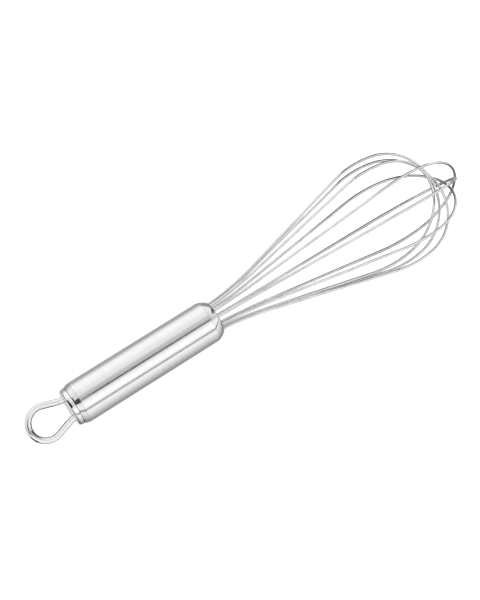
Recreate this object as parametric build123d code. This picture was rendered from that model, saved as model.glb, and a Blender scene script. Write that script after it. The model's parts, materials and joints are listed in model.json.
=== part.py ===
from build123d import *
from math import acos, asin, atan2, cos, degrees, hypot, radians, sin, sqrt, tan
import os

# Balloon whisk of stainless steel. All lengths are in millimetres and all angles in degrees.
# The pieces are drawn along +X: the mouth of the handle is at x = 0, just in front of its lip, with the
# balloon of wires on the +X side and the handle on the -X side. The whole whisk is then laid down the way
# it rests on a table, on two of its wires and the rear of its tube. The origin is on the table, under the
# middle of its bounding box.

# Handle tube
TUBE_RADIUS = 11.0
WALL = 0.8
FRONT_CREASE = 5.6
FRONT_TILT = 14.0
FRONT_ROUND_RADIUS = 11.0
LIP_BORE_RADIUS = 8.2
REAR_ROUND_RADIUS = 8.5
REAR_ROUND_START = 79.6
REAR_SEAM = 83.5

# Rear cap
HANDLE_LENGTH = 86.2
CAP_RIM_RADIUS = 9.9
CAP_EDGE_RADIUS = 1.1
CAP_FACE_THICKNESS = 1.6
CAP_SKIRT_WALL = 0.9
CAP_SKIRT_LENGTH = 4.5
SEAM_BEVEL = 0.15

# Hanging loop of thick wire, and the plate that locks its legs inside the cap
HANG_WIRE_RADIUS = 1.7
HANG_LEG_SPACING = 10.4
HANG_PROJECTION = 23.4
HANG_CROWN_RADIUS = 8.5
HANG_FLARE = 18.0
HANG_BEND_RADIUS = 8.0
HANG_LEG_DEPTH = 4.4
HANG_PLANE_ANGLE = 8.0
ANCHOR_RADIUS = 8.0
ANCHOR_THICKNESS = 1.5

# Balloon wires. Every loop is flat and lies in a plane through the axis of the balloon: a straight leg, an
# easy bend out of the lip, a straight flare, a wide shoulder and a tighter crown.
WIRE_RADIUS = 0.75
LEG_CIRCLE_RADIUS = 6.5
LEG_DEPTH = 19.0
EXIT_BEND_RADIUS = 170.0
EXIT_BEND_CORNER = 7.0
HALF_WIDTH = 28.9
SHOULDER_RADIUS = 54.0
CROWN_RADIUS = 28.5
BALLOON_LEAN = 1.7
# For each loop: the angle of its plane from +Y, its reach beyond the mouth, and its shift to one side within
# the plane. The reaches are more than a wire apart, so that the loops pass over each other at the tip.
WIRE_LOOPS = [
    (42.0, 133.0, 1.3),
    (17.0, 134.8, 3.0),
    (176.0, 137.0, -0.7),
    (138.0, 140.5, 0.6),
    (102.0, 145.2, -0.2),
    (69.0, 147.2, -1.5),
]

# Guide disc and resin seal inside the front of the tube
DISC_RADIUS = 9.4
DISC_THICKNESS = 1.5
DISC_INSET = 3.8
SEAL_LENGTH = 18.0
SEAL_FRONT_RADIUS = 9.9

# How far the axis of the handle rises towards the balloon when the whisk lies on a table
REST_TILT = 5.3

BORE_RADIUS = TUBE_RADIUS - WALL
FRONT_ROUND_CENTRE = (
    -FRONT_CREASE - FRONT_ROUND_RADIUS * sin(radians(FRONT_TILT)),
    TUBE_RADIUS - FRONT_ROUND_RADIUS * cos(radians(FRONT_TILT)),
)
INNER_CREASE = -FRONT_ROUND_CENTRE[0] - sqrt(
    (FRONT_ROUND_RADIUS - WALL) ** 2 - (BORE_RADIUS - FRONT_ROUND_CENTRE[1]) ** 2
)
REAR_BORE_RADIUS = TUBE_RADIUS - REAR_ROUND_RADIUS + sqrt(
    (REAR_ROUND_RADIUS - WALL) ** 2 - (REAR_SEAM - REAR_ROUND_START) ** 2
)
REAR_NECK_RADIUS = TUBE_RADIUS - REAR_ROUND_RADIUS + sqrt(
    REAR_ROUND_RADIUS**2 - (REAR_SEAM - REAR_ROUND_START) ** 2
)


def polygon_edges(*points):
    """Straight edges through the points."""
    return [Line(start, end) for start, end in zip(points, points[1:])]


def turned(edges):
    """Solid of revolution about X from a closed outline whose Y is the radius."""
    return revolve(make_face(Curve() + edges), Axis.X, 360)


def bent_wire(edges, radius):
    """Round wire of the given radius along edges that join end to end."""
    path = Wire(edges)
    section = Plane(origin=path @ 0, z_dir=path % 0) * Circle(radius)
    return sweep(section, path=path)


def handle_tube():
    """Thin tube, creased and rounded in to the lip at the front and rounded to the cap's seam at the rear."""
    inner_round = FRONT_ROUND_RADIUS - WALL
    lip_turn = degrees(acos((LIP_BORE_RADIUS - FRONT_ROUND_CENTRE[1]) / inner_round))
    crease_turn = degrees(acos((BORE_RADIUS - FRONT_ROUND_CENTRE[1]) / inner_round))
    front_outer = CenterArc(FRONT_ROUND_CENTRE, FRONT_ROUND_RADIUS, 90 - FRONT_TILT, FRONT_TILT - lip_turn)
    front_inner = CenterArc(FRONT_ROUND_CENTRE, inner_round, 90 - crease_turn, crease_turn - lip_turn)
    lip_forward = Vector(cos(radians(lip_turn)), -sin(radians(lip_turn)))
    lip_middle = (front_outer @ 1 + front_inner @ 1) / 2 + lip_forward * WALL / 2
    lip = ThreePointArc(front_outer @ 1, lip_middle, front_inner @ 1)

    rear_centre = (-REAR_ROUND_START, TUBE_RADIUS - REAR_ROUND_RADIUS)
    rear_run = REAR_SEAM - REAR_ROUND_START
    outer_turn = degrees(asin(rear_run / REAR_ROUND_RADIUS))
    inner_turn = degrees(asin(rear_run / (REAR_ROUND_RADIUS - WALL)))
    rear_outer = CenterArc(rear_centre, REAR_ROUND_RADIUS, 90, outer_turn)
    rear_inner = CenterArc(rear_centre, REAR_ROUND_RADIUS - WALL, 90, inner_turn)

    walls = [
        Line(rear_outer @ 0, front_outer @ 0),
        Line(front_inner @ 0, rear_inner @ 0),
        Line(rear_inner @ 1, rear_outer @ 1),
    ]
    return turned([front_outer, lip, front_inner, rear_inner, rear_outer] + walls)


def hanging_leg_holes():
    """Straight rods where the two legs of the hanging loop pass through the cap and its plate."""
    rod = Cylinder(HANG_WIRE_RADIUS, 2 * HANG_LEG_DEPTH, rotation=(0, 90, 0))
    side = HANG_LEG_SPACING / 2
    rods = [Pos(-HANDLE_LENGTH, sign * side, 0) * rod for sign in (-1, 1)]
    return [Rot(HANG_PLANE_ANGLE, 0, 0) * one for one in rods]


def rear_cap():
    """Cap with a flat face, a rounded rim and a skirt that plugs into the tube."""
    face_x = -HANDLE_LENGTH
    rim_x = face_x + CAP_EDGE_RADIUS
    face_radius = CAP_RIM_RADIUS - CAP_EDGE_RADIUS
    inner_x = face_x + CAP_FACE_THICKNESS
    skirt_end = -REAR_SEAM + CAP_SKIRT_LENGTH
    skirt_bore = REAR_BORE_RADIUS - CAP_SKIRT_WALL
    rim = CenterArc((rim_x, face_radius), CAP_EDGE_RADIUS, 90, 90)
    outside = polygon_edges(
        (skirt_end, REAR_BORE_RADIUS),
        (-REAR_SEAM, REAR_BORE_RADIUS),
        (-REAR_SEAM, REAR_NECK_RADIUS - SEAM_BEVEL),
        (-REAR_SEAM - SEAM_BEVEL, REAR_NECK_RADIUS),
        (rim_x, CAP_RIM_RADIUS),
    )
    inside = polygon_edges(
        (face_x, face_radius),
        (face_x, 0),
        (inner_x, 0),
        (inner_x, skirt_bore),
        (skirt_end, skirt_bore),
        (skirt_end, REAR_BORE_RADIUS),
    )
    return turned(outside + [rim] + inside) - hanging_leg_holes()


def loop_anchor_plate():
    """Round plate against the inside of the cap, drilled for the legs of the hanging loop."""
    middle = -HANDLE_LENGTH + CAP_FACE_THICKNESS + ANCHOR_THICKNESS / 2
    plate = Pos(middle, 0, 0) * Cylinder(ANCHOR_RADIUS, ANCHOR_THICKNESS, rotation=(0, 90, 0))
    return plate - hanging_leg_holes()


def hanging_loop():
    """Omega of thick wire: parallel legs, a short bend outwards, a straight flare and a round crown."""
    crown_x = -HANDLE_LENGTH - HANG_PROJECTION + HANG_WIRE_RADIUS + HANG_CROWN_RADIUS
    flare = radians(HANG_FLARE)
    leg_y = HANG_LEG_SPACING / 2
    crown = CenterArc((crown_x, 0), HANG_CROWN_RADIUS, 90 - HANG_FLARE, 90 + HANG_FLARE)
    touch = crown @ 0
    corner_x = touch.X + (touch.Y - leg_y) / tan(flare)
    bend_start = corner_x + HANG_BEND_RADIUS * tan(flare / 2)
    bend = CenterArc((bend_start, leg_y + HANG_BEND_RADIUS), HANG_BEND_RADIUS, -90, -HANG_FLARE)
    leg = Line((-HANDLE_LENGTH + HANG_LEG_DEPTH, leg_y), bend @ 0)
    half = [leg, bend, Line(bend @ 1, touch), crown]
    other_half = [edge.mirror(Plane.XZ) for edge in half]
    return Rot(HANG_PLANE_ANGLE, 0, 0) * bent_wire(half + other_half[::-1], HANG_WIRE_RADIUS)


def half_wire(reach, shift):
    """Edges of one half of a flat wire loop, on the +Y side, from the end of its leg to its tip."""
    crown_x = reach - CROWN_RADIUS
    shoulder_y = HALF_WIDTH + shift - SHOULDER_RADIUS
    centre_gap = SHOULDER_RADIUS - CROWN_RADIUS
    shoulder_x = crown_x - sqrt(centre_gap**2 - (shoulder_y - shift) ** 2)

    from_corner_x = shoulder_x - EXIT_BEND_CORNER
    from_corner_y = shoulder_y - LEG_CIRCLE_RADIUS
    distance = hypot(from_corner_x, from_corner_y)
    flare = atan2(from_corner_y, from_corner_x) + asin(SHOULDER_RADIUS / distance)
    flare_angle = degrees(flare)
    bend_x = EXIT_BEND_CORNER - EXIT_BEND_RADIUS * tan(flare / 2)
    bend_centre = (bend_x, LEG_CIRCLE_RADIUS + EXIT_BEND_RADIUS)
    handover = degrees(atan2(shift - shoulder_y, crown_x - shoulder_x))

    leg = Line((-LEG_DEPTH, LEG_CIRCLE_RADIUS), (bend_x, LEG_CIRCLE_RADIUS))
    bend = CenterArc(bend_centre, EXIT_BEND_RADIUS, -90, flare_angle)
    shoulder_centre = (shoulder_x, shoulder_y)
    shoulder = CenterArc(shoulder_centre, SHOULDER_RADIUS, 90 + flare_angle, handover - 90 - flare_angle)
    crown = CenterArc((crown_x, shift), CROWN_RADIUS, handover, -handover)
    return [leg, bend, Line(bend @ 1, shoulder @ 0), shoulder, crown]


def wire_loop(angle, reach, shift):
    """One loop of the balloon with both its legs, turned into its own plane and leaned with the balloon."""
    upper = half_wire(reach, shift)
    lower = [edge.mirror(Plane.XZ) for edge in half_wire(reach, -shift)]
    flat_loop = bent_wire(upper + lower[::-1], WIRE_RADIUS)
    return Rot(0, 0, -BALLOON_LEAN) * Rot(angle, 0, 0) * flat_loop


def wire_guide_disc(loops):
    """Perforated disc that rests against the rounded front of the tube from inside."""
    middle = -DISC_INSET - DISC_THICKNESS / 2
    disc = Pos(middle, 0, 0) * Cylinder(DISC_RADIUS, DISC_THICKNESS, rotation=(0, 90, 0))
    return disc - loops


def wire_seal(loops):
    """Cast plug behind the guide disc, around the legs of the wires."""
    front = -DISC_INSET - DISC_THICKNESS
    outline = polygon_edges(
        (front, 0),
        (front, SEAL_FRONT_RADIUS),
        (-INNER_CREASE, BORE_RADIUS),
        (front - SEAL_LENGTH, BORE_RADIUS),
        (front - SEAL_LENGTH, 0),
        (front, 0),
    )
    return turned(outline) - loops


def build():
    """All the pieces by name, still along X."""
    loops = [wire_loop(*row) for row in WIRE_LOOPS]
    pieces = {
        "handle_tube": handle_tube(),
        "rear_cap": rear_cap(),
        "hanging_loop": hanging_loop(),
        "loop_anchor_plate": loop_anchor_plate(),
        "wire_guide_disc": wire_guide_disc(loops),
        "wire_seal": wire_seal(loops),
    }
    for number, loop in enumerate(loops, start=1):
        pieces[f"wire_loop_{number}"] = loop
    return pieces


def lay_down(pieces):
    """Tilts the whisk to its resting pose and centres its bounding box over the origin."""
    tilted = {name: Rot(0, -REST_TILT, 0) * piece for name, piece in pieces.items()}
    box = Compound(list(tilted.values())).bounding_box()
    middle = box.center()
    place = Pos(-middle.X, -middle.Y, -box.min.Z)
    return {name: place * piece for name, piece in tilted.items()}


os.makedirs("parts", exist_ok=True)
for name, piece in lay_down(build()).items():
    export_step(piece, f"parts/{name}.step")
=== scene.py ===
import json
from math import acos, asin, atan2, ceil, cos, degrees, hypot, pi, radians, sin, sqrt, tan

import bmesh
import bpy
from mathutils import Matrix, Vector


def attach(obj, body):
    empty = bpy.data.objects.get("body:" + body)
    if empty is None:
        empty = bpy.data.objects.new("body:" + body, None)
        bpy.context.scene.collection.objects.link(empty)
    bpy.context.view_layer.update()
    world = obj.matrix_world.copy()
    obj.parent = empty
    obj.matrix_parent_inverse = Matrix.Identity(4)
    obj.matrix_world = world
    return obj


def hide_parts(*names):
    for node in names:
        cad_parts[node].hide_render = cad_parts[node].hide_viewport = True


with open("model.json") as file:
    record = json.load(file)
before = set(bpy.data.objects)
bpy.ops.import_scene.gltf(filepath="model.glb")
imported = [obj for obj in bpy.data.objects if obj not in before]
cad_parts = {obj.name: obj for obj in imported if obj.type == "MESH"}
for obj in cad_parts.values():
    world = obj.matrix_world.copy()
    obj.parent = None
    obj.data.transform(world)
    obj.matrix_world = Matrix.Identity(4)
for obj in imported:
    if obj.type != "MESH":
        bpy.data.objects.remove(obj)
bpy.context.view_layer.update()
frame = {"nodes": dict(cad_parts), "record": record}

MM = 0.001

# Whisk's own axes: X along the handle to the balloon, origin on the axis at the mouth of the handle.
# They come from the record's grip mount, which lies at the middle of the straight part of the tube.
# The sizes are the part's own, except that the seam's bevel is wider, so that its hairline shows.
TUBE_RADIUS = 11.0
WALL = 0.8
FRONT_CREASE = 5.6
FRONT_TILT = 14.0
FRONT_ROUND_RADIUS = 11.0
LIP_BORE_RADIUS = 8.2
REAR_ROUND_RADIUS = 8.5
REAR_ROUND_START = 79.6
REAR_SEAM = 83.5
HANDLE_LENGTH = 86.2
CAP_RIM_RADIUS = 9.9
CAP_EDGE_RADIUS = 1.1
CAP_SKIRT_LENGTH = 4.5
SEAM_BEVEL = 0.3
HANG_WIRE_RADIUS = 1.7
HANG_LEG_SPACING = 10.4
HANG_PROJECTION = 23.4
HANG_CROWN_RADIUS = 8.5
HANG_FLARE = 18.0
HANG_BEND_RADIUS = 8.0
HANG_LEG_DEPTH = 4.4
HANG_PLANE_ANGLE = 8.0
WIRE_RADIUS = 0.75
LEG_CIRCLE_RADIUS = 6.5
LEG_DEPTH = 19.0
EXIT_BEND_RADIUS = 170.0
EXIT_BEND_CORNER = 7.0
HALF_WIDTH = 28.9
SHOULDER_RADIUS = 54.0
CROWN_RADIUS = 28.5
BALLOON_LEAN = 1.7
# Plane angle, reach beyond the mouth and shift to one side of each loop of the balloon.
WIRE_LOOPS = {
    "wire_loop_1": (42.0, 133.0, 1.3),
    "wire_loop_2": (17.0, 134.8, 3.0),
    "wire_loop_3": (176.0, 137.0, -0.7),
    "wire_loop_4": (138.0, 140.5, 0.6),
    "wire_loop_5": (102.0, 145.2, -0.2),
    "wire_loop_6": (69.0, 147.2, -1.5),
}

grip = next(mount for mount in frame["record"]["mounts"] if mount["name"] == "grip")
FORWARD = -Vector(grip["axis"]).normalized()
SIDE = Vector((0, 1, 0))
UPWARD = FORWARD.cross(SIDE)
AXES = Matrix((FORWARD, SIDE, UPWARD)).transposed()
MOUTH = Vector(grip["pos_m"]) + FORWARD * (FRONT_CREASE + REAR_ROUND_START) / 2 * MM


def to_row(x, y=0.0, z=0.0):
    """A point given in millimetres along the whisk's own axes, in the frame's metres."""
    return MOUTH + AXES @ (Vector((x, y, z)) * MM)


# ---------------------------------------------------------------- camera

CAMERA_DISTANCE = 734.0
CAMERA_SWING = radians(13.8)
CAMERA_ROLL = radians(32.0)
LOOP_LEVEL = radians(82.0)
AIM = (14.6, 0.73)
LENS = 88.1


def seen_axes(x, y, z):
    """A vector along the whisk, across it as the camera sees it, and towards the camera's side."""
    level_y = y * sin(LOOP_LEVEL) - z * cos(LOOP_LEVEL)
    level_z = y * cos(LOOP_LEVEL) + z * sin(LOOP_LEVEL)
    return Vector((x, level_y, level_z))


def towards_camera():
    """Direction from the whisk to the camera."""
    return AXES @ seen_axes(-sin(CAMERA_SWING), 0, cos(CAMERA_SWING))


def make_camera():
    """Camera at the photograph's angle, looking down on the whisk from behind its handle."""
    along = AXES @ seen_axes(cos(CAMERA_SWING), 0, sin(CAMERA_SWING))
    across = AXES @ seen_axes(0, 1, 0)
    back = towards_camera()
    right = along * cos(CAMERA_ROLL) - across * sin(CAMERA_ROLL)
    up = along * sin(CAMERA_ROLL) + across * cos(CAMERA_ROLL)
    data = bpy.data.cameras.new("camera")
    data.lens = LENS
    data.clip_start = 0.01
    data.clip_end = 50.0
    camera = bpy.data.objects.new("camera", data)
    place = to_row(*seen_axes(AIM[0], AIM[1], 0)) + back * CAMERA_DISTANCE * MM
    camera.matrix_world = Matrix.Translation(place) @ Matrix((right, up, back)).transposed().to_4x4()
    bpy.context.scene.collection.objects.link(camera)
    bpy.context.scene.camera = camera


# ---------------------------------------------------------------- node helpers


class Nodes:
    """Short calls that add nodes to one node tree."""

    def __init__(self, tree):
        self.tree = tree

    def put(self, socket, value):
        if isinstance(value, bpy.types.NodeSocket):
            self.tree.links.new(value, socket)
        elif value is not None:
            socket.default_value = value

    def add(self, kind, inputs=None, **settings):
        node = self.tree.nodes.new(kind)
        for key, value in settings.items():
            setattr(node, key, value)
        for key, value in (inputs or {}).items():
            self.put(node.inputs[key], value)
        return node

    def math(self, operation, a, b=None, c=None):
        return self.add("ShaderNodeMath", {0: a, 1: b, 2: c}, operation=operation).outputs[0]

    def dot(self, a, b):
        return self.add("ShaderNodeVectorMath", {0: a, 1: b}, operation="DOT_PRODUCT").outputs["Value"]

    def step(self, value, low, high, start=0.0, end=1.0):
        """Smooth change from start to end as value goes from low to high."""
        inputs = {"Value": value, "From Min": low, "From Max": high, "To Min": start, "To Max": end}
        return self.add("ShaderNodeMapRange", inputs, interpolation_type="SMOOTHSTEP").outputs["Result"]

    def span(self, value, low, high, soft):
        """One between low and high, fading to nothing over soft."""
        rise = self.step(value, low - soft, low + soft)
        fall = self.step(value, high - soft, high + soft, 1.0, 0.0)
        return self.math("MULTIPLY", rise, fall)

    def mix(self, factor, a, b):
        node = self.add("ShaderNodeMix", data_type="FLOAT")
        self.put(node.inputs[0], factor)
        self.put(node.inputs[2], a)
        self.put(node.inputs[3], b)
        return node.outputs[0]

    def mix_colour(self, factor, a, b):
        node = self.add("ShaderNodeMix", data_type="RGBA")
        self.put(node.inputs[0], factor)
        self.put(node.inputs[6], a)
        self.put(node.inputs[7], b)
        return node.outputs[2]

    def noise(self, vector, scale, detail=3.0, roughness=0.55):
        inputs = {"Vector": vector, "Scale": scale, "Detail": detail, "Roughness": roughness}
        return self.add("ShaderNodeTexNoise", inputs).outputs["Fac"]


# ---------------------------------------------------------------- studio

# Brightness of the soft studio round the handle's axis, by the angle from the camera's side of it, in
# degrees: positive is the far side of the whisk. Dark gaps between the lights make the long stripes.
STUDIO_BANDS = [
    (-180, 0.80), (-160, 0.75), (-140, 0.42), (-128, 0.60), (-109, 0.95), (-93, 1.25), (-79, 1.55),
    (-62, 1.80), (-58, 0.55), (-51, 0.55), (-47, 1.75), (-32, 1.92), (-16, 1.75), (-7, 1.45), (0, 1.10),
    (31, 1.45), (42, 1.46), (53, 1.58), (70, 1.76), (92, 1.80), (103, 1.48), (114, 1.00), (125, 0.62),
    (138, 0.60), (152, 0.75), (180, 0.80),
]
# Brightness that the top of the colour ramp stands for, because the ramp's own colours stop at one.
RAMP_TOP = 2.0
# Dark patches low behind the handle. The first makes the dark square by the seam, and also darkens the
# tip of the balloon a little. The second darkens small parts of the cap and the hanging loop. Reach is the
# angle from across the whisk towards the balloon, and soft the width of the patch's edge.
PATCHES = [
    {"angles": (-6.0, 21.0), "reach": (-41.0, -9.0), "level": 0.10, "soft": 1.5},
    {"angles": (-168.0, -120.0), "reach": (-62.0, -16.0), "level": 0.08, "soft": 4.0},
]
# Cards near the whisk, which show only in reflections. Each is a strip bent round the whisk's axis, or a
# flat sector where both of its ends are at the same place along. The strip adds a grey stripe to the
# handle, and the line a dark line in it. The balloon and near cards darken the wires round the balloon, and
# the neck card a few spots nearer the handle. The rim card makes the crescent on the cap. The crown and
# loop cards darken the edges of the hanging loop.
CARD_STEP = 4.0
CARDS = {
    "strip_card": {"radii": (70.0, 70.0), "angles": (-2.8, 25.8), "along": (-76.0, 22.0), "level": 0.95},
    "line_card": {"radii": (69.0, 69.0), "angles": (-1.4, 6.5), "along": (-76.0, 22.0), "level": 0.10},
    "balloon_card": {"radii": (64.0, 64.0), "angles": (40.0, 172.0), "along": (100.0, 195.0), "level": 0.25},
    "neck_card": {"radii": (64.0, 64.0), "angles": (104.0, 172.0), "along": (32.0, 98.0), "level": 0.52},
    "near_card": {"radii": (64.0, 64.0), "angles": (-172.0, -100.0), "along": (95.0, 195.0), "level": 0.35},
    "rim_card": {"radii": (5.0, 18.0), "angles": (-4.0, 34.0), "along": (-90.0, -90.0), "level": 0.02},
    "crown_card": {"radii": (5.0, 19.0), "angles": (-150.0, -62.0), "along": (-121.0, -121.0), "level": 0.02},
    "loop_card": {"radii": (4.5, 4.5), "angles": (80.0, 225.0), "along": (-106.0, -92.0), "level": 0.05},
}
FLOOR_REACH = 8.0
FLOOR_TONE = 0.9
# Light on the floor alone, from beside the camera.
FILL_SIZE = 0.7
FILL_DISTANCE = 1.6
FILL_POWER = 16.0


def make_world():
    """Soft studio light from all round, with darker gaps between its lights."""
    world = bpy.data.worlds.new("studio")
    world.use_nodes = True
    tree = world.node_tree
    tree.nodes.clear()
    n = Nodes(tree)
    direction = n.add("ShaderNodeTexCoord").outputs["Generated"]
    facing = AXES @ seen_axes(0, 0, 1)
    across = AXES @ seen_axes(0, 1, 0)
    round_angle = n.math("ARCTAN2", n.dot(direction, across), n.dot(direction, facing))
    ramp = n.add("ShaderNodeValToRGB", {"Fac": n.math("MULTIPLY_ADD", round_angle, 0.5 / pi, 0.5)})
    elements = ramp.color_ramp.elements
    while len(elements) > 1:
        elements.remove(elements[-1])
    for index, (angle, level) in enumerate(STUDIO_BANDS):
        position = angle / 360.0 + 0.5
        element = elements[0] if index == 0 else elements.new(position)
        element.position = position
        tone = level / RAMP_TOP
        element.color = (tone, tone, tone, 1.0)
    level = n.math("MULTIPLY", ramp.outputs["Color"], RAMP_TOP)
    along_angle = n.math("ARCSINE", n.dot(direction, FORWARD))
    for patch in PATCHES:
        soft = radians(patch["soft"])
        inside = n.math(
            "MULTIPLY",
            n.span(round_angle, *map(radians, patch["angles"]), soft),
            n.span(along_angle, *map(radians, patch["reach"]), soft),
        )
        level = n.mix(inside, level, patch["level"])
    light = n.add("ShaderNodeBackground", {"Strength": level, "Color": (1.0, 1.0, 1.0, 1.0)})
    output = n.add("ShaderNodeOutputWorld")
    tree.links.new(light.outputs[0], output.inputs["Surface"])
    bpy.context.scene.world = world


def make_floor():
    """Large pale floor under the whisk."""
    material = bpy.data.materials.new("floor")
    material.use_nodes = True
    shader = material.node_tree.nodes["Principled BSDF"]
    shader.inputs["Base Color"].default_value = (FLOOR_TONE, FLOOR_TONE, FLOOR_TONE, 1.0)
    shader.inputs["Roughness"].default_value = 0.9
    shader.inputs["Specular IOR Level"].default_value = 0.1
    mesh = bpy.data.meshes.new("floor")
    low, high = -FLOOR_REACH, FLOOR_REACH
    corners = [(low, low, 0.0), (high, low, 0.0), (high, high, 0.0), (low, high, 0.0)]
    mesh.from_pydata(corners, [], [(0, 1, 2, 3)])
    mesh.materials.append(material)
    floor = bpy.data.objects.new("floor", mesh)
    floor.visible_glossy = False
    floor.visible_shadow = False
    bpy.context.scene.collection.objects.link(floor)


def make_card(name, radii, angles, along, level):
    """Glowing card near the whisk that shows only in reflections."""
    material = bpy.data.materials.new(name)
    material.use_nodes = True
    tree = material.node_tree
    tree.nodes.clear()
    n = Nodes(tree)
    glow = n.add("ShaderNodeEmission", {"Color": (1.0, 1.0, 1.0, 1.0), "Strength": level})
    output = n.add("ShaderNodeOutputMaterial")
    tree.links.new(glow.outputs[0], output.inputs["Surface"])
    count = ceil((angles[1] - angles[0]) / CARD_STEP)
    corners = []
    for i in range(count + 1):
        angle = radians(angles[0] + (angles[1] - angles[0]) * i / count)
        for x, radius in zip(along, radii):
            corners.append(to_row(*seen_axes(x, radius * sin(angle), radius * cos(angle))))
    faces = [(2 * i, 2 * i + 1, 2 * i + 3, 2 * i + 2) for i in range(count)]
    mesh = bpy.data.meshes.new(name)
    mesh.from_pydata(corners, [], faces)
    mesh.materials.append(material)
    card = bpy.data.objects.new(name, mesh)
    card.visible_camera = False
    card.visible_diffuse = False
    card.visible_shadow = False
    bpy.context.scene.collection.objects.link(card)


def make_fill():
    """Large soft light that brightens the floor and shows in no reflection."""
    data = bpy.data.lights.new("fill", "AREA")
    data.shape = "DISK"
    data.size = FILL_SIZE
    data.energy = FILL_POWER
    fill = bpy.data.objects.new("fill", data)
    fill.visible_glossy = False
    back = towards_camera()
    fill.location = MOUTH + back * FILL_DISTANCE
    fill.rotation_euler = back.to_track_quat("Z", "Y").to_euler()
    bpy.context.scene.collection.objects.link(fill)


# ---------------------------------------------------------------- materials

# Dark and light tone of each finish.
BRUSHED_TONES = ((0.505, 0.508, 0.515, 1), (0.559, 0.560, 0.564, 1))
PLAIN_TONES = ((0.455, 0.458, 0.468, 1), (0.480, 0.483, 0.491, 1))
CAP_TONES = ((0.502, 0.505, 0.517, 1), (0.547, 0.549, 0.555, 1))
LOOP_TONES = ((0.502, 0.505, 0.513, 1), (0.562, 0.564, 0.568, 1))
WIRE_TONES = ((0.445, 0.449, 0.457, 1), (0.520, 0.522, 0.526, 1))
STAMPED_TONES = ((0.36, 0.365, 0.375, 1), (0.48, 0.482, 0.49, 1))
RESIN_TONES = ((0.07, 0.073, 0.08, 1), (0.12, 0.123, 0.13, 1))
# Darker colour of the painted shade bands at the two ends of the brushing.
SHADE_LINE_TONE = (0.40, 0.403, 0.412, 1)
# Where the tube is brushed, and where a thin band of painted shade lies at each end of the brushing, along
# the whisk.
BRUSHED_SPAN = (-80.8, -FRONT_CREASE)
FRONT_SHADE_LINE = (-FRONT_CREASE - 0.1, -FRONT_CREASE + 0.2)
REAR_SHADE_LINE = (-81.1, -80.7)
FINISH_EDGE = 0.1


def new_material(name):
    """A material, the helper for its nodes and its shader."""
    material = bpy.data.materials.new(name)
    material.use_nodes = True
    n = Nodes(material.node_tree)
    shader = material.node_tree.nodes["Principled BSDF"]
    return material, n, shader


def emboss(n, shader, relief, strength, depth):
    """Joins the relief to the shader, with its depth in millimetres."""
    inputs = {"Height": relief, "Strength": strength, "Distance": depth * MM}
    n.put(shader.inputs["Normal"], n.add("ShaderNodeBump", inputs).outputs["Normal"])


def whisk_coordinates(n, stretch):
    """Coordinates along the whisk's own axes, each multiplied by its own stretch per metre."""
    place = n.add("ShaderNodeTexCoord").outputs["Object"]
    inputs = {
        "Vector": place,
        "Location": MOUTH,
        "Rotation": AXES.to_euler(),
        "Scale": (1 / stretch[0], 1 / stretch[1], 1 / stretch[2]),
    }
    return n.add("ShaderNodeMapping", inputs, vector_type="TEXTURE").outputs["Vector"]


def brushed_tube_material():
    """Steel brushed round the tube, polished on the rounded ends, with a band of painted shade at each end of
    the brushing.
    """
    material, n, shader = new_material("brushed_tube")
    place = n.add("ShaderNodeTexCoord").outputs["Object"]
    along = n.math("SUBTRACT", n.dot(place, FORWARD), MOUTH.dot(FORWARD))
    brushed, front_shade_line, rear_shade_line = (
        n.span(along, low * MM, high * MM, FINISH_EDGE * MM)
        for low, high in (BRUSHED_SPAN, FRONT_SHADE_LINE, REAR_SHADE_LINE)
    )
    # Painted shade: a thin darker band in the colour at each end of the brushing.
    shade_lines = n.math("ADD", front_shade_line, rear_shade_line)
    fine = n.noise(whisk_coordinates(n, (14000, 160, 160)), 1.0, 2.0)
    coarse = n.noise(whisk_coordinates(n, (2600, 60, 60)), 1.0, 3.0)
    cloud = n.noise(whisk_coordinates(n, (160, 160, 160)), 1.0, 3.0)
    grain = n.mix(0.45, fine, coarse)
    scratch_field = n.noise(whisk_coordinates(n, (900, 5200, 5200)), 1.0, 2.0)
    scratches = n.step(scratch_field, 0.70, 0.76)
    tone = n.math("MULTIPLY", n.step(grain, 0.25, 0.75), brushed)
    grained = n.mix_colour(tone, *BRUSHED_TONES)
    plain = n.mix_colour(n.step(cloud, 0.3, 0.7), *PLAIN_TONES)
    finished = n.mix_colour(brushed, plain, grained)
    colour = n.mix_colour(shade_lines, finished, SHADE_LINE_TONE)
    shader.inputs["Metallic"].default_value = 1.0
    n.put(shader.inputs["Base Color"], colour)
    uneven = n.step(cloud, 0.3, 0.7, -0.02, 0.02)
    brushed_roughness = n.math("ADD", n.step(grain, 0.2, 0.8, 0.205, 0.275), uneven)
    scratched = n.math("MULTIPLY", scratches, 0.05)
    polished_roughness = n.math("ADD", n.step(cloud, 0.3, 0.7, 0.06, 0.10), scratched)
    n.put(shader.inputs["Roughness"], n.mix(brushed, polished_roughness, brushed_roughness))
    shader.inputs["Anisotropic"].default_value = 0.9
    tangent = n.add("ShaderNodeTangent", direction_type="UV_MAP", uv_map="UVMap")
    n.put(shader.inputs["Tangent"], tangent.outputs["Tangent"])
    texture = n.math("ADD", grain, n.math("MULTIPLY", scratches, -0.4))
    relief = n.math("MULTIPLY", texture, n.step(brushed, 0.0, 1.0, 0.05, 1.0))
    emboss(n, shader, relief, 0.05, 0.02)
    return material


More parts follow.
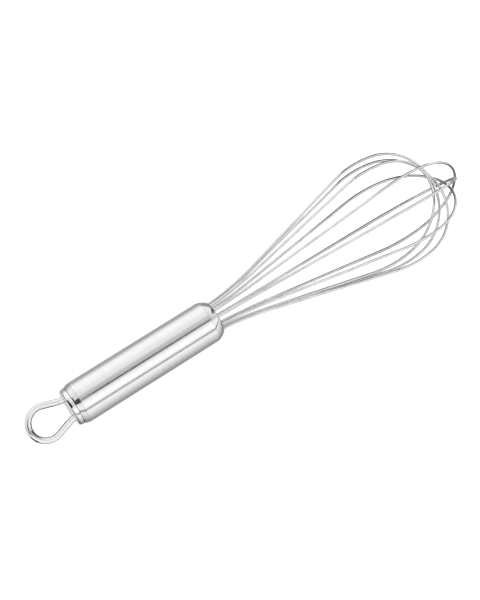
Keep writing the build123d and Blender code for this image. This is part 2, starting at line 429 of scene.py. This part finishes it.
def polished_cap_material():
    """Polished steel with faint turning marks and a few fine scratches."""
    material, n, shader = new_material("polished_cap")
    local = whisk_coordinates(n, (1000, 1000, 1000))
    split = n.add("ShaderNodeSeparateXYZ", {0: local}).outputs
    radius = n.math("SQRT", n.math("ADD", n.math("POWER", split["Y"], 2.0), n.math("POWER", split["Z"], 2.0)))
    ring_place = {"X": n.math("MULTIPLY", radius, 9.0), "Y": n.math("MULTIPLY", split["X"], 6.0)}
    rings = n.noise(n.add("ShaderNodeCombineXYZ", ring_place).outputs[0], 1.0, 2.0)
    cloud = n.noise(local, 0.5, 4.0)
    scratch_field = n.noise(whisk_coordinates(n, (700, 4200, 500)), 1.0, 2.0)
    scratches = n.step(scratch_field, 0.68, 0.74)
    colour = n.mix_colour(n.step(cloud, 0.3, 0.7), *CAP_TONES)
    shader.inputs["Metallic"].default_value = 1.0
    n.put(shader.inputs["Base Color"], colour)
    roughness = n.math("ADD", n.step(cloud, 0.3, 0.7, 0.06, 0.11), n.math("MULTIPLY", scratches, 0.06))
    n.put(shader.inputs["Roughness"], n.math("ADD", roughness, n.step(rings, 0.2, 0.8, 0.0, 0.04)))
    relief = n.math("ADD", n.math("MULTIPLY", rings, 0.6), n.math("MULTIPLY", scratches, -0.5))
    emboss(n, shader, relief, 0.1, 0.01)
    return material


def drawn_wire_material(name, dark, light, low_roughness, high_roughness):
    """Bright drawn wire: fine marks along its length, soft variation in polish."""
    material, n, shader = new_material(name)
    uv = n.add("ShaderNodeUVMap", uv_map="UVMap").outputs["UV"]
    marks_vector = n.add("ShaderNodeMapping", {"Vector": uv, "Scale": (260, 26, 1)}).outputs["Vector"]
    marks = n.noise(marks_vector, 1.0, 3.0)
    place = n.add("ShaderNodeTexCoord").outputs["Object"]
    cloud = n.noise(place, 140.0, 4.0)
    scuffs = n.step(n.noise(place, 2200.0, 2.0), 0.66, 0.74)
    colour = n.mix_colour(n.step(cloud, 0.3, 0.7), dark, light)
    shader.inputs["Metallic"].default_value = 1.0
    n.put(shader.inputs["Base Color"], colour)
    polish = n.step(cloud, 0.25, 0.75, low_roughness, high_roughness)
    roughness = n.math("ADD", polish, n.math("MULTIPLY", scuffs, 0.08))
    n.put(shader.inputs["Roughness"], n.math("ADD", roughness, n.step(marks, 0.3, 0.7, 0.0, 0.05)))
    relief = n.math("ADD", marks, n.math("MULTIPLY", scuffs, -0.6))
    emboss(n, shader, relief, 0.05, 0.008)
    return material


def stamped_steel_material():
    """Plain stamped steel of the small parts inside the handle."""
    material, n, shader = new_material("stamped_steel")
    place = n.add("ShaderNodeTexCoord").outputs["Object"]
    cloud = n.noise(place, 400.0, 4.0)
    grain = n.noise(place, 5200.0, 3.0)
    colour = n.mix_colour(n.step(cloud, 0.3, 0.7), *STAMPED_TONES)
    shader.inputs["Metallic"].default_value = 1.0
    n.put(shader.inputs["Base Color"], colour)
    n.put(shader.inputs["Roughness"], n.step(grain, 0.25, 0.75, 0.3, 0.48))
    emboss(n, shader, grain, 0.2, 0.01)
    return material


def cast_resin_material():
    """Matt grey resin with fine pits and a mottled tone."""
    material, n, shader = new_material("cast_resin")
    place = n.add("ShaderNodeTexCoord").outputs["Object"]
    cloud = n.noise(place, 300.0, 5.0)
    pits = n.step(n.noise(place, 2600.0, 2.0), 0.62, 0.72)
    colour = n.mix_colour(n.step(cloud, 0.3, 0.7), *RESIN_TONES)
    n.put(shader.inputs["Base Color"], colour)
    n.put(shader.inputs["Roughness"], n.step(cloud, 0.3, 0.7, 0.5, 0.7))
    relief = n.math("ADD", cloud, n.math("MULTIPLY", pits, -0.8))
    emboss(n, shader, relief, 0.3, 0.03)
    return material


# ---------------------------------------------------------------- shapes

# Longest steps along the outlines, in millimetres, and the sides of the round pieces.
ARC_STEP = 0.6
LINE_STEP = 2.5
BEND_STEP = 1.5
SHORT_STEP = 1.0
LOOP_STEP = 0.35
ROUND_STEP = 0.25
EDGE_STEP = 0.1
BORE_STEP = 20.0
TURN_SEGMENTS = 160
HANG_WIRE_SEGMENTS = 40
WIRE_SEGMENTS = 20
ON_AXIS = 1e-6
# Length that one unit of the UV map stands for, along the pieces.
UV_LENGTH = 100.0
# The last flat step before the front crease is this short, which keeps the crease's smooth shading narrow.
CREASE_BLEND = 0.12
# Edges that turn by more than this stay sharp.
SHARP_ANGLE = radians(38)


def arc_points(centre, radius, start, turn, step=ARC_STEP):
    """Points along an arc, from its start angle through its turn, both in degrees."""
    count = max(3, ceil(abs(radians(turn)) * radius / step))
    angles = [radians(start + turn * i / count) for i in range(count + 1)]
    return [(centre[0] + radius * cos(a), centre[1] + radius * sin(a)) for a in angles]


def line_points(start, end, step=LINE_STEP):
    """Points along a straight run."""
    count = max(1, ceil(hypot(end[0] - start[0], end[1] - start[1]) / step))
    return [
        (start[0] + (end[0] - start[0]) * i / count, start[1] + (end[1] - start[1]) * i / count)
        for i in range(count + 1)
    ]


def joined(*runs):
    """One list of points from runs that meet end to end."""
    points = list(runs[0])
    for run in runs[1:]:
        points += run[1:]
    return points


def finish_mesh(name, bm, material):
    """Turns the bmesh into an object with smooth faces and sharp creases."""
    bmesh.ops.recalc_face_normals(bm, faces=bm.faces)
    mesh = bpy.data.meshes.new(name)
    bm.to_mesh(mesh)
    bm.free()
    for face in mesh.polygons:
        face.use_smooth = True
    mesh.set_sharp_from_angle(angle=SHARP_ANGLE)
    mesh.materials.append(material)
    piece = bpy.data.objects.new(name, mesh)
    bpy.context.scene.collection.objects.link(piece)
    return piece


def turned(name, outline, material, closed):
    """Surface of revolution about the whisk's axis. A closed outline joins its last point to its first."""
    bm = bmesh.new()
    uv_layer = bm.loops.layers.uv.new("UVMap")
    lengths = [0.0]
    for a, b in zip(outline, outline[1:]):
        lengths.append(lengths[-1] + hypot(b[0] - a[0], b[1] - a[1]))
    rings = []
    for x, radius in outline:
        if radius < ON_AXIS:
            rings.append([bm.verts.new(to_row(x))] * TURN_SEGMENTS)
            continue
        angles = [2 * pi * k / TURN_SEGMENTS for k in range(TURN_SEGMENTS)]
        rings.append([bm.verts.new(to_row(x, radius * cos(a), radius * sin(a))) for a in angles])
    spans = list(zip(range(len(rings)), range(1, len(rings))))
    if closed:
        spans.append((len(rings) - 1, 0))
    for first, second in spans:
        far = lengths[second] if second else lengths[first] + 1.0
        for k in range(TURN_SEGMENTS):
            following = (k + 1) % TURN_SEGMENTS
            corners = [
                (rings[first][k], lengths[first], k),
                (rings[second][k], far, k),
                (rings[second][following], far, k + 1),
                (rings[first][following], lengths[first], k + 1),
            ]
            kept = [c for i, c in enumerate(corners) if all(c[0] is not d[0] for d in corners[:i])]
            face = bm.faces.new([c[0] for c in kept])
            for loop, corner in zip(face.loops, kept):
                loop[uv_layer].uv = (corner[1] / UV_LENGTH, corner[2] / TURN_SEGMENTS)
    return finish_mesh(name, bm, material)


def swept(name, points, turn, radius, segments, material):
    """Round wire along flat points, which turn takes to the whisk's own axes."""
    bm = bmesh.new()
    uv_layer = bm.loops.layers.uv.new("UVMap")
    rings = []
    travelled = 0.0
    lengths = []
    last = len(points) - 1
    for i, (x, y) in enumerate(points):
        before = points[max(i - 1, 0)]
        after = points[min(i + 1, last)]
        run = Vector((after[0] - before[0], after[1] - before[1], 0)).normalized()
        sideways = Vector((-run.y, run.x, 0))
        if i:
            travelled += hypot(x - before[0], y - before[1])
        lengths.append(travelled)
        ring = []
        for k in range(segments):
            a = 2 * pi * k / segments
            offset = (sideways * cos(a) + Vector((0, 0, sin(a)))) * radius
            ring.append(bm.verts.new(to_row(*(turn @ (Vector((x, y, 0)) + offset)))))
        rings.append(ring)
    for i in range(last):
        for k in range(segments):
            following = (k + 1) % segments
            face = bm.faces.new((rings[i][k], rings[i + 1][k], rings[i + 1][following], rings[i][following]))
            steps = ((lengths[i], k), (lengths[i + 1], k), (lengths[i + 1], k + 1), (lengths[i], k + 1))
            for loop, (length, turn_step) in zip(face.loops, steps):
                loop[uv_layer].uv = (length / UV_LENGTH, turn_step / segments)
    bm.faces.new(rings[0])
    bm.faces.new(rings[-1])
    return finish_mesh(name, bm, material)


def tube_outline():
    """Closed outline of the tube's wall, as distance along the axis and radius."""
    tilt = radians(FRONT_TILT)
    front_centre = (
        -FRONT_CREASE - FRONT_ROUND_RADIUS * sin(tilt),
        TUBE_RADIUS - FRONT_ROUND_RADIUS * cos(tilt),
    )
    inner_round = FRONT_ROUND_RADIUS - WALL
    lip_turn = degrees(acos((LIP_BORE_RADIUS - front_centre[1]) / inner_round))
    crease_turn = degrees(acos((TUBE_RADIUS - WALL - front_centre[1]) / inner_round))
    front_turn = FRONT_TILT - lip_turn
    front_outer = arc_points(front_centre, FRONT_ROUND_RADIUS, 90 - FRONT_TILT, front_turn, ROUND_STEP)
    front_inner = arc_points(front_centre, inner_round, 90 - lip_turn, lip_turn - crease_turn, ROUND_STEP)
    lip_centre = (
        (front_outer[-1][0] + front_inner[0][0]) / 2,
        (front_outer[-1][1] + front_inner[0][1]) / 2,
    )
    lip = arc_points(lip_centre, WALL / 2, 90 - lip_turn, -180, EDGE_STEP)
    rear_centre = (-REAR_ROUND_START, TUBE_RADIUS - REAR_ROUND_RADIUS)
    rear_run = REAR_SEAM - REAR_ROUND_START
    outer_turn = degrees(asin(rear_run / REAR_ROUND_RADIUS))
    inner_turn = degrees(asin(rear_run / (REAR_ROUND_RADIUS - WALL)))
    rear_inner = arc_points(rear_centre, REAR_ROUND_RADIUS - WALL, 90, inner_turn, ROUND_STEP)
    rear_outer = arc_points(rear_centre, REAR_ROUND_RADIUS, 90 + outer_turn, -outer_turn, ROUND_STEP)
    crease = front_outer[0]
    outside = line_points(rear_outer[-1], (crease[0] - CREASE_BLEND, crease[1])) + [crease]
    inside = line_points(front_inner[-1], rear_inner[0], BORE_STEP)
    return joined(rear_outer, outside, front_outer, lip, front_inner, inside, rear_inner)


def cap_outline():
    """Outline of the cap from inside the tube's seam, over its rim, to the middle of its face."""
    rear_run = REAR_SEAM - REAR_ROUND_START
    neck = TUBE_RADIUS - REAR_ROUND_RADIUS + sqrt(REAR_ROUND_RADIUS**2 - rear_run**2)
    bore = TUBE_RADIUS - REAR_ROUND_RADIUS + sqrt((REAR_ROUND_RADIUS - WALL) ** 2 - rear_run**2)
    rim_centre = (-HANDLE_LENGTH + CAP_EDGE_RADIUS, CAP_RIM_RADIUS - CAP_EDGE_RADIUS)
    rim = arc_points(rim_centre, CAP_EDGE_RADIUS, 90, 90, EDGE_STEP)
    skirt = [
        (-REAR_SEAM + CAP_SKIRT_LENGTH, 0.0),
        (-REAR_SEAM + CAP_SKIRT_LENGTH, bore),
        (-REAR_SEAM, bore),
        (-REAR_SEAM, neck - SEAM_BEVEL),
        (-REAR_SEAM - SEAM_BEVEL, neck),
    ]
    face = line_points(rim[-1], (-HANDLE_LENGTH, 0.0), SHORT_STEP)
    return joined(skirt, [skirt[-1]] + rim[:1], rim, face)


def hanging_half():
    """One half of the hanging loop's centreline, from the end of its leg to its crown."""
    crown_x = -HANDLE_LENGTH - HANG_PROJECTION + HANG_WIRE_RADIUS + HANG_CROWN_RADIUS
    flare = radians(HANG_FLARE)
    leg_y = HANG_LEG_SPACING / 2
    crown = arc_points((crown_x, 0), HANG_CROWN_RADIUS, 90 - HANG_FLARE, 90 + HANG_FLARE, LOOP_STEP)
    touch = crown[0]
    corner_x = touch[0] + (touch[1] - leg_y) / tan(flare)
    bend_x = corner_x + HANG_BEND_RADIUS * tan(flare / 2)
    bend_centre = (bend_x, leg_y + HANG_BEND_RADIUS)
    bend = arc_points(bend_centre, HANG_BEND_RADIUS, -90, -HANG_FLARE, LOOP_STEP)
    leg = line_points((-HANDLE_LENGTH + HANG_LEG_DEPTH, leg_y), bend[0], SHORT_STEP)
    return joined(leg, bend, line_points(bend[-1], touch, SHORT_STEP), crown)


def wire_half(reach, shift):
    """One half of a balloon loop's centreline, from the end of its leg to its tip."""
    crown_x = reach - CROWN_RADIUS
    shoulder_y = HALF_WIDTH + shift - SHOULDER_RADIUS
    shoulder_x = crown_x - sqrt((SHOULDER_RADIUS - CROWN_RADIUS) ** 2 - (shoulder_y - shift) ** 2)
    from_corner = (shoulder_x - EXIT_BEND_CORNER, shoulder_y - LEG_CIRCLE_RADIUS)
    flare = atan2(from_corner[1], from_corner[0]) + asin(SHOULDER_RADIUS / hypot(*from_corner))
    flare_angle = degrees(flare)
    bend_x = EXIT_BEND_CORNER - EXIT_BEND_RADIUS * tan(flare / 2)
    handover = degrees(atan2(shift - shoulder_y, crown_x - shoulder_x))
    leg = line_points((-LEG_DEPTH, LEG_CIRCLE_RADIUS), (bend_x, LEG_CIRCLE_RADIUS))
    bend_centre = (bend_x, LEG_CIRCLE_RADIUS + EXIT_BEND_RADIUS)
    bend = arc_points(bend_centre, EXIT_BEND_RADIUS, -90, flare_angle, BEND_STEP)
    shoulder_centre = (shoulder_x, shoulder_y)
    shoulder_turn = handover - 90 - flare_angle
    shoulder = arc_points(shoulder_centre, SHOULDER_RADIUS, 90 + flare_angle, shoulder_turn, SHORT_STEP)
    crown = arc_points((crown_x, shift), CROWN_RADIUS, handover, -handover)
    return joined(leg, bend, line_points(bend[-1], shoulder[0]), shoulder, crown)


def mirrored(points):
    """The same points on the other side, running back."""
    return [(x, -y) for x, y in reversed(points)]


def carry(piece, node):
    """The piece rides on the whisk and stands for its CAD node, which is hidden."""
    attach(piece, "root")
    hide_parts(node)


def build_pieces():
    """The detailed pieces, and the finish of the CAD nodes inside the handle."""
    tube = turned("tube_shell", tube_outline(), brushed_tube_material(), closed=True)
    carry(tube, "handle_tube")
    cap = turned("end_cap", cap_outline(), polished_cap_material(), closed=False)
    carry(cap, "rear_cap")

    loop_steel = drawn_wire_material("loop_steel", *LOOP_TONES, 0.05, 0.09)
    half = hanging_half()
    turn = Matrix.Rotation(radians(HANG_PLANE_ANGLE), 3, "X")
    points = joined(half, mirrored(half))
    loop = swept("hook_loop", points, turn, HANG_WIRE_RADIUS, HANG_WIRE_SEGMENTS, loop_steel)
    carry(loop, "hanging_loop")

    wire_steel = drawn_wire_material("wire_steel", *WIRE_TONES, 0.04, 0.07)
    lean = Matrix.Rotation(radians(-BALLOON_LEAN), 3, "Z")
    for node, (angle, reach, shift) in WIRE_LOOPS.items():
        points = joined(wire_half(reach, shift), mirrored(wire_half(reach, -shift)))
        turn = lean @ Matrix.Rotation(radians(angle), 3, "X")
        name = node.replace("wire_loop", "balloon_wire")
        wire = swept(name, points, turn, WIRE_RADIUS, WIRE_SEGMENTS, wire_steel)
        carry(wire, node)

    inner = {"wire_guide_disc": stamped_steel_material(), "wire_seal": cast_resin_material()}
    inner["loop_anchor_plate"] = inner["wire_guide_disc"]
    for node, material in inner.items():
        mesh = frame["nodes"][node].data
        for index in range(len(mesh.materials)):
            mesh.materials[index] = material


make_camera()
make_world()
make_floor()
for card_name, card in CARDS.items():
    make_card(card_name, **card)
make_fill()
build_pieces()
view_settings = bpy.context.scene.view_settings
view_settings.view_transform = "Standard"
view_settings.look = "None"
